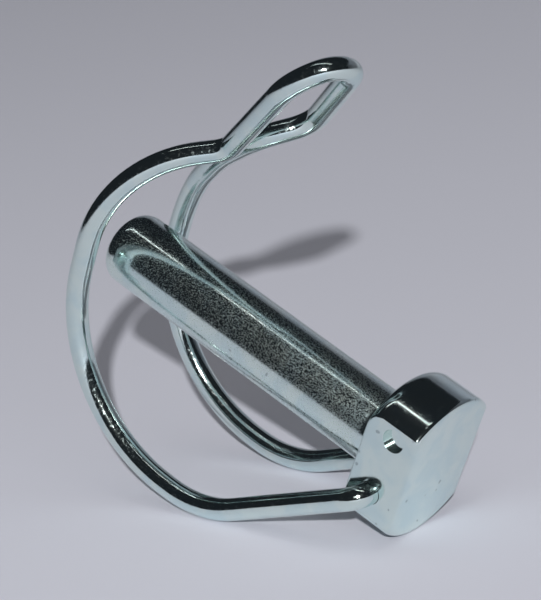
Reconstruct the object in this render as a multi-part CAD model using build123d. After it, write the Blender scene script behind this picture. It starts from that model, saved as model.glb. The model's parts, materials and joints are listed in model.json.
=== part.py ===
# Double-wire lock pin: a zinc-plated pin with a flatted head, and a spring-wire bail that snaps over its tip.
#
# Two pieces are made, each in its own file:
#   pin   round shank, rounded tip, head with two flats, cross hole for the bail's legs
#   bail  one bent wire: leg, elbow, bow, neck, finger loop, and back down the other side
#
# Everything is drawn in the pin's own frame first: the shank's axis is X and points from the head to the tip,
# the head's flats face +Y and -Y, and X = 0 is the face of the head that the shank grows out of.
# At the end both pieces are turned about Y and moved, so that the part stands on Z = 0 as it rests, on the
# lower edge of the head and on the two bows, with the origin under the middle of its outline.

import os
from math import acos, asin, atan2, degrees, hypot, sin, tan

from build123d import *

# ---- driving dimensions, millimetres ----

SHANK_D = 10.0  # the size that the pin is sold by
SHANK_LENGTH = 47.0  # head face to tip
TIP_ROUNDING = 2.5  # radius round the tip's edge
ROOT_FILLET = 0.5  # where the shank grows out of the head

HEAD_D = 20.5
HEAD_LENGTH = 7.8
HEAD_FLATS = 14.5  # across the two flats
HEAD_FRONT_ROUNDING = 2.0  # edge on the shank's side
HEAD_END_ROUNDING = 0.7  # edge of the end face
FLAT_EDGE_ROUNDING = 0.5  # long edges between flat and round

WIRE_D = 3.0
LEG_HOLE_CLEARANCE = 0.06  # on the radius, so the legs turn freely
LEG_END_GAP = 0.6  # between the ends of the two legs, inside the hole
FLAT_TO_WIRE = 0.55  # air between a flat of the head and the wire beside it
ELBOW_BEND = 2.0  # centre-line radius where the wire turns into the hole

HINGE_X = -3.6  # axis of the legs, seen from the side
HINGE_Z = -3.6
UPPER_HOLE_X = -4.4  # the second, shallow hole in the near flat
UPPER_HOLE_Z = 5.2
UPPER_HOLE_DEPTH = 0.9

BOW_START_X = 17.5  # the straight run from the hinge meets the bottom of the bow under here
BOW_DEPTH = 21.5  # shank's axis down to the wire's centre line
BOW_REACH = 45.5  # head face to the wire's centre line at the front of the bow
BOW_START_BEND = 16.0
BOW_BEND = 21.3

WIRE_R = WIRE_D / 2
LEG_HOLE_R = WIRE_R + LEG_HOLE_CLEARANCE
BOW_Y = HEAD_FLATS / 2 + FLAT_TO_WIRE + WIRE_R  # each bow lies in a plane this far from the middle

# The centre line's corners above the bow, each with the radius of its bend.
# The near wire passes outside the far one at the neck, which leaves the finger loop a little twisted.
NEAR_SHOULDER = ((BOW_REACH + 0.7, BOW_Y, 15.8), 19.0)
NEAR_NECK = ((34.6, 1.0, 22.4), 3.0)
NEAR_LOOP = ((25.4, 5.9, 39.2), 8.0)
LOOP_TIP = ((19.2, 0.8, 45.6), 3.2)
FAR_LOOP = ((27.8, -5.4, 28.5), 4.0)
FAR_NECK = ((31.6, -1.0, 25.6), 6.0)
FAR_UPPER_SHOULDER = ((39.3, -5.2, 16.7), 40.0)
FAR_SHOULDER = ((BOW_REACH - 0.1, -BOW_Y, 6.8), 18.0)


# ---- the wire's route ----


def rounded_route(first, corners, last):
    """Straight runs joined by tangent arcs, from a list of (corner, bend radius)."""
    points = [Vector(*first)] + [Vector(*corner) for corner, _ in corners] + [Vector(*last)]
    edges = []
    reached = points[0]
    for before, corner, after, (_, radius) in zip(points, points[1:], points[2:], corners):
        back = (before - corner).normalized()
        ahead = (after - corner).normalized()
        half_angle = acos(back.dot(ahead)) / 2
        arc_start = corner + back * (radius / tan(half_angle))
        arc_end = corner + ahead * (radius / tan(half_angle))
        arc_middle = corner + (back + ahead).normalized() * (radius / sin(half_angle) - radius)
        edges.append(Edge.make_line(reached, arc_start))
        edges.append(Edge.make_three_point_arc(arc_start, arc_middle, arc_end))
        reached = arc_end
    edges.append(Edge.make_line(reached, points[-1]))
    return Wire(edges)


def bow_corners(y):
    """The corners of one bow, from the elbow to the front, in the plane at this y."""
    return [
        ((HINGE_X, y, HINGE_Z), ELBOW_BEND),
        ((BOW_START_X, y, -BOW_DEPTH), BOW_START_BEND),
        ((BOW_REACH, y, -BOW_DEPTH), BOW_BEND),
    ]


# ---- the two pieces, in the pin's own frame ----


def make_pin():
    """Shank and head in one solid: a turned outline, two flats, the cross hole and the upper hole."""
    shank_r = SHANK_D / 2
    head_r = HEAD_D / 2
    outline = Polyline(
        (-HEAD_LENGTH, 0),
        (-HEAD_LENGTH, head_r),
        (0, head_r),
        (0, shank_r),
        (SHANK_LENGTH, shank_r),
        (SHANK_LENGTH, 0),
        close=True,
    )
    section = make_face(outline)

    def rounded(face, x, z, radius):
        return fillet(face.vertices().sort_by_distance((x, z, 0))[0], radius)

    section = rounded(section, -HEAD_LENGTH, head_r, HEAD_END_ROUNDING)
    section = rounded(section, 0, head_r, HEAD_FRONT_ROUNDING)
    section = rounded(section, 0, shank_r, ROOT_FILLET)
    section = rounded(section, SHANK_LENGTH, shank_r, TIP_ROUNDING)
    pin = revolve(section, Axis.X)

    flat_y = HEAD_FLATS / 2
    waste_depth = head_r - flat_y
    for side in (1, -1):
        waste = Box(HEAD_LENGTH * 2, waste_depth * 2, HEAD_D * 2)
        pin -= Pos(-HEAD_LENGTH, side * (flat_y + waste_depth), 0) * waste
    flats = [face for face in pin.faces().filter_by(Axis.Y) if face.geom_type == GeomType.PLANE]
    flat_edges = ShapeList(edge for face in flats for edge in face.edges())
    pin = fillet(flat_edges, FLAT_EDGE_ROUNDING)

    across = Rot(90, 0, 0)
    leg_hole = Pos(HINGE_X, 0, HINGE_Z) * across * Cylinder(LEG_HOLE_R, HEAD_FLATS * 2)
    upper_hole_y = flat_y - UPPER_HOLE_DEPTH / 2 + WIRE_R / 2
    upper_hole = Cylinder(LEG_HOLE_R, UPPER_HOLE_DEPTH + WIRE_R)
    return pin - leg_hole - Pos(UPPER_HOLE_X, upper_hole_y, UPPER_HOLE_Z) * across * upper_hole


def make_bail():
    """The bent wire, swept in one go from the end of the near leg to the end of the far leg."""
    corners = bow_corners(BOW_Y)
    corners += [NEAR_SHOULDER, NEAR_NECK, NEAR_LOOP, LOOP_TIP, FAR_LOOP, FAR_NECK]
    corners += [FAR_UPPER_SHOULDER, FAR_SHOULDER]
    corners += reversed(bow_corners(-BOW_Y))
    near_end = (HINGE_X, LEG_END_GAP / 2, HINGE_Z)
    far_end = (HINGE_X, -LEG_END_GAP / 2, HINGE_Z)
    route = rounded_route(near_end, corners, far_end)
    section = Plane(origin=near_end, z_dir=(0, 1, 0)) * Circle(WIRE_R)
    bail = sweep(section, path=route)
    print("wire length", round(route.length, 1), "volume ratio", round(bail.volume / (section.area * route.length), 4))
    return bail


# ---- how the part rests ----


def resting_tilt():
    """Angle of the floor line that touches the head's lower end edge and the wire's start bend."""
    edge_x = -HEAD_LENGTH + HEAD_END_ROUNDING
    edge_z = -HEAD_D / 2 + HEAD_END_ROUNDING
    turn = atan2(BOW_DEPTH + HINGE_Z, BOW_START_X - HINGE_X)
    bend_x = BOW_START_X + BOW_START_BEND * tan(turn / 2)
    bend_z = -BOW_DEPTH + BOW_START_BEND
    across = hypot(bend_x - edge_x, bend_z - edge_z)
    drop = BOW_START_BEND + WIRE_R - HEAD_END_ROUNDING
    return degrees(asin(drop / across) - atan2(bend_z - edge_z, bend_x - edge_x))


pin = make_pin()
bail = make_bail()
tilt = resting_tilt()
lean = Rot(0, -tilt, 0)
box = Compound([lean * pin, lean * bail]).bounding_box()
place = Pos(-box.center().X, -box.center().Y, -box.min.Z) * lean

os.makedirs("parts", exist_ok=True)
export_step(place * pin, "parts/pin.step")
export_step(place * bail, "parts/bail.step")


def placed(x, y, z):
    """A point of the pin's own frame, rounded, where it stands in the resting part."""
    point = (place * Vertex(x, y, z)).center()
    return tuple(round(value, 3) for value in (point.X, point.Y, point.Z))


print("tilt", round(tilt, 3), "size", [round(v, 2) for v in (box.size.X, box.size.Y, box.size.Z)])
print("hinge", placed(HINGE_X, 0, HINGE_Z))
print("shank root", placed(0, 0, 0), "shank tip", placed(SHANK_LENGTH, 0, 0))
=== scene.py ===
# %% [markdown]
# # A double-wire lock pin
#
# The part is two pieces of plated steel: a pin with a flatted head, and a sprung wire bail that swings on it.
# Bright metal has almost no colour of its own. What an eye reads as "plated steel" is the room in it: the
# pale table, the dark ceiling, and the small lamp. So this lesson spends as long on the room as on the metal.
#
# Everything is in metres. The two pieces come from the CAD model and stay exactly where it puts them.

# %% Load the two pieces
import json

import bpy
import numpy as np
from mathutils import Matrix, Vector


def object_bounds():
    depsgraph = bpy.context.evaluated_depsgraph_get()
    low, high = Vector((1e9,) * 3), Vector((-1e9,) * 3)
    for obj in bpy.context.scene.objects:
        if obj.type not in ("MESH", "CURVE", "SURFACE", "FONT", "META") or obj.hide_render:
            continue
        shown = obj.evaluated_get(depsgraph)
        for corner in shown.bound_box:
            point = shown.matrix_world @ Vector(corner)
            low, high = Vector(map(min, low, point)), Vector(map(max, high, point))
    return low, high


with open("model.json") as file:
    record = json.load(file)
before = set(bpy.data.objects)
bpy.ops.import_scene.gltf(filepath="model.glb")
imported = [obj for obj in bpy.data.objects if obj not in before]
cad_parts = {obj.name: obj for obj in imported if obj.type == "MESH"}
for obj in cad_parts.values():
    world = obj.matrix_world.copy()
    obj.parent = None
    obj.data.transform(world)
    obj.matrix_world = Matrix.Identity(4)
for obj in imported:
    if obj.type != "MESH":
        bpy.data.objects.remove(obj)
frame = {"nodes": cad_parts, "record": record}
cad_low, cad_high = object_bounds()
pin = frame["nodes"]["pin"]
bail = frame["nodes"]["bail"]
for piece in (pin, bail):
    print(piece.name, "has", len(piece.data.polygons), "faces")

# %% [markdown]
# ## The pin's own axes
#
# The pin leans as it rests, but its wear and its grain follow the shank, not the table. The shank's axis and
# its root are stated in the record, as the place where the pin mates with a hole. They are read from there
# once, and every pattern on the pin is turned by the same lean.

# %% Read the axis of the shank
shank = frame["record"]["mounts"][0]
shank_axis = Vector(shank["axis"]).normalized()
shank_root = Vector(shank["pos_m"])
LEAN = np.arctan2(shank_axis.z, shank_axis.x)  # how far the shank rises above the table, in radians
print("the shank rises at", round(float(np.degrees(LEAN)), 1), "degrees")

# %% [markdown]
# ## Camera
#
# A long lens close to the table looks down the shank from the head's end, and leans a few degrees to one side.
# A camera looks along its own -Z, with +Y up, so its matrix is three columns: right, up, and backwards.

# %% Place the camera
LENS_MM = 164.6
SENSOR_MM = 36.0
NEAREST_SEEN = 0.01
CAMERA_PLACE = Vector((-0.2192, 0.2494, 0.1362))
LOOK = Vector((0.629, -0.713, -0.310)).normalized()
RIGHT = Vector((-0.766, -0.636, -0.092))

right = (RIGHT - LOOK * RIGHT.dot(LOOK)).normalized()
up = right.cross(LOOK)
camera_data = bpy.data.cameras.new("camera")
camera_data.lens = LENS_MM
camera_data.sensor_width = SENSOR_MM
camera_data.clip_start = NEAREST_SEEN
camera = bpy.data.objects.new("camera", camera_data)
camera.matrix_world = Matrix(
    [(right[i], up[i], -LOOK[i], CAMERA_PLACE[i]) for i in range(3)] + [(0, 0, 0, 1)]
)
bpy.context.scene.collection.objects.link(camera)
bpy.context.scene.camera = camera
print("camera", round(CAMERA_PLACE.length, 3), "m from the origin")

# %% [markdown]
# ## Writing shaders as sums
#
# Shader maths is easier to read as an expression than as a pile of nodes. This small class wraps a socket, so
# that `1 - mask * 0.5` adds the Math nodes by itself. Any other node comes from one method, which takes the
# node's type, its settings, and the values or links of its sockets.

# %% A class for shader maths


class Field:
    """A number or vector that varies over a surface. Arithmetic on it adds Math nodes to its tree."""

    def __init__(self, tree, socket):
        self.tree = tree
        self.socket = socket

    @staticmethod
    def node(tree, kind, settings=None, **sockets):
        """Adds a node: its settings are set first, then its sockets, by name or by _number."""
        made = tree.nodes.new(kind)
        for name, value in (settings or {}).items():
            setattr(made, name, value)
        for name, value in sockets.items():
            key = int(name[1:]) if name.startswith("_") else name.replace("_", " ")
            socket = made.inputs[key]
            if isinstance(value, Field):
                tree.links.new(value.socket, socket)
            else:
                socket.default_value = value
        return made

    def math(self, operation, *others):
        """A Math node on this field and the others, in order."""
        sockets = {f"_{number}": value for number, value in enumerate((self, *others))}
        made = Field.node(self.tree, "ShaderNodeMath", {"operation": operation}, **sockets)
        return Field(self.tree, made.outputs[0])

    def __add__(self, other):
        return self.math("ADD", other)

    def __sub__(self, other):
        return self.math("SUBTRACT", other)

    def __mul__(self, other):
        return self.math("MULTIPLY", other)

    def __rsub__(self, other):
        return (self * -1.0) + other

    __radd__ = __add__
    __rmul__ = __mul__

    def step(self, low, high):
        """0 below low and 1 above high, with a smooth curve between."""
        made = Field.node(
            self.tree,
            "ShaderNodeMapRange",
            {"interpolation_type": "SMOOTHSTEP"},
            Value=self,
            From_Min=low,
            From_Max=high,
        )
        return Field(self.tree, made.outputs["Result"])


# %% [markdown]
# ## Coordinates and noise
#
# Object coordinates are metres in the CAD frame, so a noise of scale 4000 has features about a quarter of a
# millimetre across. A Mapping node turns them by the shank's lean, so that X runs along the shank and X = 0 is
# the face of the head. A stretch makes streaks: a factor under 1 draws the pattern out along that axis.

# %% Helpers for the finishes


def new_material(name):
    """An empty node material, its Principled shader, and its output already joined."""
    material = bpy.data.materials.new(name)
    material.use_nodes = True
    tree = material.node_tree
    tree.nodes.clear()
    shader = tree.nodes.new("ShaderNodeBsdfPrincipled")
    output = tree.nodes.new("ShaderNodeOutputMaterial")
    tree.links.new(shader.outputs["BSDF"], output.inputs["Surface"])
    return material, tree, shader


def object_place(tree):
    """Object coordinates: metres in the frame of the CAD model."""
    return Field(tree, tree.nodes.new("ShaderNodeTexCoord").outputs["Object"])


def along_shank(tree):
    """Object coordinates turned so that X runs along the shank from the head's face."""
    turned = Matrix.Rotation(LEAN, 3, "Y") @ shank_root
    made = Field.node(
        tree,
        "ShaderNodeMapping",
        {"vector_type": "POINT"},
        Vector=object_place(tree),
        Rotation=(0.0, LEAN, 0.0),
        Location=-turned,
    )
    return Field(tree, made.outputs["Vector"])


def stretched(tree, place, x, y, z):
    """The same coordinates with each axis multiplied."""
    made = Field.node(tree, "ShaderNodeMapping", {"vector_type": "POINT"}, Vector=place, Scale=(x, y, z))
    return Field(tree, made.outputs["Vector"])


def noise(tree, place, scale, detail=2.0, roughness=0.5, distortion=0.0):
    """Smooth noise from 0 to 1, mostly between 0.3 and 0.7."""
    made = Field.node(
        tree,
        "ShaderNodeTexNoise",
        {"noise_dimensions": "3D"},
        Vector=place,
        Scale=scale,
        Detail=detail,
        Roughness=roughness,
        Distortion=distortion,
    )
    return Field(tree, made.outputs[0])


def part_of(tree, vector, axis):
    """One of a vector's three numbers: 0 is X, 1 is Y and 2 is Z."""
    made = Field.node(tree, "ShaderNodeSeparateXYZ", None, Vector=vector)
    return Field(tree, made.outputs[axis])


def mixed(tree, amount, first, second):
    """A colour between two, by an amount from 0 to 1."""
    made = Field.node(tree, "ShaderNodeMix", {"data_type": "RGBA"}, _0=amount, _6=first, _7=second)
    return Field(tree, made.outputs[2])


def bump(tree, height, distance, strength=1.0):
    """A normal from a height field, in metres of relief."""
    made = Field.node(tree, "ShaderNodeBump", None, Height=height, Distance=distance, Strength=strength)
    return Field(tree, made.outputs["Normal"])


# %% [markdown]
# ## Zinc on the pin
#
# Zinc is plated on in a barrel, and comes out a cool, slightly green grey. The head is bright, with fine
# scratches and small pits from tumbling. The shank keeps the grain of the drawn bar under the plating, so a
# lamp breaks up on it into a band of sparks. Both are one material: a mask along the shank tells them apart.

# %% The pin's finish
ZINC_PALE = (0.76, 0.87, 0.83, 1.0)
ZINC_COOL = (0.67, 0.81, 0.81, 1.0)
ZINC_SPECK = (0.34, 0.40, 0.41, 1.0)
CLOUD_EDGE = (0.35, 0.65)  # where the clouds turn from the pale zinc to the cool one
HEAD_TO_SHANK = (0.0002, 0.0012)  # metres past the head's face over which the grain comes in
GRAIN_SCALE, GRAIN_ALONG = 8000.0, 0.6
SCRATCH_SCALE, SCRATCH_ACROSS, SCRATCH_EDGE = 2600.0, 0.06, (0.66, 0.74)
PIT_SCALE, PIT_EDGE, PIT_DARKNESS = 900.0, (0.80, 0.84), 0.7
SPARKLE_EDGE, SPARKLE_FADE = (0.44, 0.53), 2.4  # the fade is per metre along the shank
RELIEF_DEPTH = 0.00001  # metres

pin_zinc, tree, shader = new_material("pin_zinc")
place = along_shank(tree)
along = part_of(tree, place, 0)
on_shank = along.step(*HEAD_TO_SHANK)
clouds = noise(tree, place, 260.0, detail=3.0, distortion=0.6)
drawn_out = stretched(tree, place, GRAIN_ALONG, 1.0, 1.0)
grain = noise(tree, drawn_out, GRAIN_SCALE, detail=2.0, roughness=0.7)
scratched = stretched(tree, place, 1.0, SCRATCH_ACROSS, 1.0)
scratches = noise(tree, scratched, SCRATCH_SCALE, detail=1.0, distortion=0.3).step(*SCRATCH_EDGE)
pits = noise(tree, place, PIT_SCALE, detail=0.0).step(*PIT_EDGE)

colour = mixed(tree, clouds.step(*CLOUD_EDGE), ZINC_PALE, ZINC_COOL)
colour = mixed(tree, pits * PIT_DARKNESS, colour, ZINC_SPECK)
tree.links.new(colour.socket, shader.inputs["Base Color"])
shader.inputs["Metallic"].default_value = 1.0
sparkle = (grain - along * SPARKLE_FADE).step(*SPARKLE_EDGE) * on_shank
gloss = clouds * 0.09 + 0.07 + sparkle * 0.25 + scratches * 0.10
tree.links.new(gloss.socket, shader.inputs["Roughness"])
relief = grain * (on_shank * 0.20 + 0.04) - scratches * 0.12 - pits * 0.5
tree.links.new(bump(tree, relief, RELIEF_DEPTH).socket, shader.inputs["Normal"])
print(pin_zinc.name, "has", len(tree.nodes), "nodes")

# %% [markdown]
# ## Zinc on the wire
#
# Spring wire is drawn through a die before it is bent, so it is smoother than the turned pin and mirrors the
# room in long clean lines. Only the plating's slight orange peel breaks a highlight up.

# %% The wire's finish
PEEL_SCALE, PEEL_EDGE, PEEL_STRENGTH = 2400.0, (0.5, 0.68), 0.45

wire_zinc, tree, shader = new_material("wire_zinc")
place = object_place(tree)
clouds = noise(tree, place, 300.0, detail=3.0, distortion=0.5)
peel = noise(tree, place, PEEL_SCALE, detail=2.0, roughness=0.6)
colour = mixed(tree, clouds.step(*CLOUD_EDGE), ZINC_PALE, ZINC_COOL)
tree.links.new(colour.socket, shader.inputs["Base Color"])
shader.inputs["Metallic"].default_value = 1.0
gloss = clouds * 0.06 + peel.step(*PEEL_EDGE) * 0.12 + 0.06
tree.links.new(gloss.socket, shader.inputs["Roughness"])
tree.links.new(bump(tree, peel, RELIEF_DEPTH, PEEL_STRENGTH).socket, shader.inputs["Normal"])
print(wire_zinc.name, "has", len(tree.nodes), "nodes")

# %% Put the finishes on
for piece, material in ((pin, pin_zinc), (bail, wire_zinc)):
    piece.data.materials.clear()
    piece.data.materials.append(material)
    print(piece.name, "is finished in", material.name)

# %% [markdown]
# ## Table and sweep
#
# The part stands on pale lavender-grey card. It runs flat under the part and past the camera, and on the -Y side
# it curves up into a wall. From the camera's place only the flat stretch is in view: the wall is there for the
# metal, which mirrors it. Beyond the card the room is dark, and the black lines on the metal come from there.

# %% The card
CARD_COLOUR = (0.60, 0.605, 0.675, 1.0)
CARD_WALL_AT = 1.15
CARD_BEND = 0.35
CARD_WALL_TOP = 0.85
CARD_NEAR_END = 1.3
CARD_LEFT = -2.0
CARD_RIGHT = 1.3
CARD_PATCH_SCALE = 6.0
CARD_PATCH_SHADE = 0.97
PAPER_ROUGHNESS = 0.9
PAPER_SHEEN = 0.2


def swept_card(columns=25, bend_steps=24):
    """A profile (flat, quarter circle, wall) carried straight along X, as one grid of points.

    s is the distance from the origin towards -Y. Round the bend, s grows as the sine of the angle, and the height
    as one less its cosine.
    """
    angle = np.linspace(0.0, np.pi / 2, bend_steps)
    bend_s = CARD_WALL_AT - CARD_BEND + CARD_BEND * np.sin(angle)
    bend_z = CARD_BEND - CARD_BEND * np.cos(angle)
    s = np.concatenate([[-CARD_NEAR_END], bend_s, [CARD_WALL_AT]])
    z = np.concatenate([[0.0], bend_z, [CARD_WALL_TOP]])
    across = np.linspace(CARD_LEFT, CARD_RIGHT, columns)
    back, sideways = np.meshgrid(s, across, indexing="ij")
    height = np.broadcast_to(z[:, None], back.shape)
    points = np.stack([sideways, -back, height], -1)
    rows = len(s)
    first = (np.arange(rows - 1)[:, None] * columns + np.arange(columns - 1)).ravel()
    faces = np.stack([first, first + 1, first + columns + 1, first + columns], -1)
    return points.reshape(-1, 3), faces


points, faces = swept_card()
card_mesh = bpy.data.meshes.new("card")
card_mesh.from_pydata(points.tolist(), [], faces.tolist())
card_mesh.polygons.foreach_set("use_smooth", np.ones(len(faces), bool))
card = bpy.data.objects.new("card", card_mesh)
bpy.context.scene.collection.objects.link(card)

card_paper, tree, shader = new_material("card_paper")
shade = noise(tree, object_place(tree), CARD_PATCH_SCALE, detail=1.0)
card_shade = tuple(CARD_PATCH_SHADE * part for part in CARD_COLOUR[:3]) + (1.0,)
tree.links.new(mixed(tree, shade, CARD_COLOUR, card_shade).socket, shader.inputs["Base Color"])
shader.inputs["Roughness"].default_value = PAPER_ROUGHNESS
shader.inputs["Specular IOR Level"].default_value = PAPER_SHEEN
card_mesh.materials.append(card_paper)
print("card has", len(faces), "faces")

# %% [markdown]
# ## Lamps
#
# A small spot lamp with a round lens stands behind the camera and a little higher. It throws the shadow behind
# the part and the sharp white sparks on the metal. A wide, weak lamp overhead fills the shadows: it is hidden
# from mirror rays, because a white square in a black reflection would give it away. A thin tube overhead gives
# the fine line that runs down the shank. A spot's size is the radius of its lens, and the other two have a width
# and a length.

# %% Place the lamps
CENTRE = (cad_low + cad_high) / 2
SPOT_CONE = np.radians(66.0)
SPOT_BLEND = 0.6


def lamp(name, direction, distance, size, power, kind="AREA", mirrored=True, long_axis=None):
    """A lamp at a distance from the part, turned to face it: a rectangle, or a spot with a round lens."""
    data = bpy.data.lights.new(name, kind)
    data.energy = power
    if kind == "AREA":
        data.shape = "RECTANGLE"
        data.size, data.size_y = size
    else:
        data.shadow_soft_size = size
        data.spot_size = SPOT_CONE
        data.spot_blend = SPOT_BLEND
    made = bpy.data.objects.new(name, data)
    back = Vector(direction).normalized()
    side = Vector(long_axis) if long_axis else Vector((0, 0, 1)).cross(back)
    side = (side - back * side.dot(back)).normalized()
    top = back.cross(side)
    spot = CENTRE + back * distance
    made.matrix_world = Matrix([(side[i], top[i], back[i], spot[i]) for i in range(3)] + [(0, 0, 0, 1)])
    made.visible_glossy = mirrored
    bpy.context.scene.collection.objects.link(made)


lamp("lens_lamp", (-0.594, 0.677, 0.435), distance=1.3, size=0.018, power=80.0, kind="SPOT")
lamp("fill", (-0.2, 0.3, 1.0), distance=1.3, size=(1.8, 1.8), power=6.6, mirrored=False)
lamp("tube", (0.0, 0.13, 1.0), distance=0.9, size=(1.1, 0.022), power=0.22, long_axis=(1, 0, 0))

# %% [markdown]
# ## The room
#
# The world lights almost nothing: it is what the metal mirrors beyond the card, and it is nearly black. A camera
# ray that passes the card's edge finds a pale grey instead, so that a low view has a background like the card.

# %% The dark room
world = bpy.data.worlds.new("room")
bpy.context.scene.world = world
world.use_nodes = True
tree = world.node_tree
tree.nodes.clear()
ROOM_DARK = (0.012, 0.014, 0.017, 1.0)
ROOM_SEEN = (0.33, 0.335, 0.365, 1.0)
is_camera = Field(tree, tree.nodes.new("ShaderNodeLightPath").outputs["Is Camera Ray"])
room_colour = mixed(tree, is_camera, ROOM_DARK, ROOM_SEEN)
background = Field.node(tree, "ShaderNodeBackground", None, Color=room_colour, Strength=1.0)
output = tree.nodes.new("ShaderNodeOutputWorld")
tree.links.new(background.outputs["Background"], output.inputs["Surface"])
print("the room is", ROOM_DARK[:3], "to the metal")

bpy.context.scene.view_settings.view_transform = "Standard"
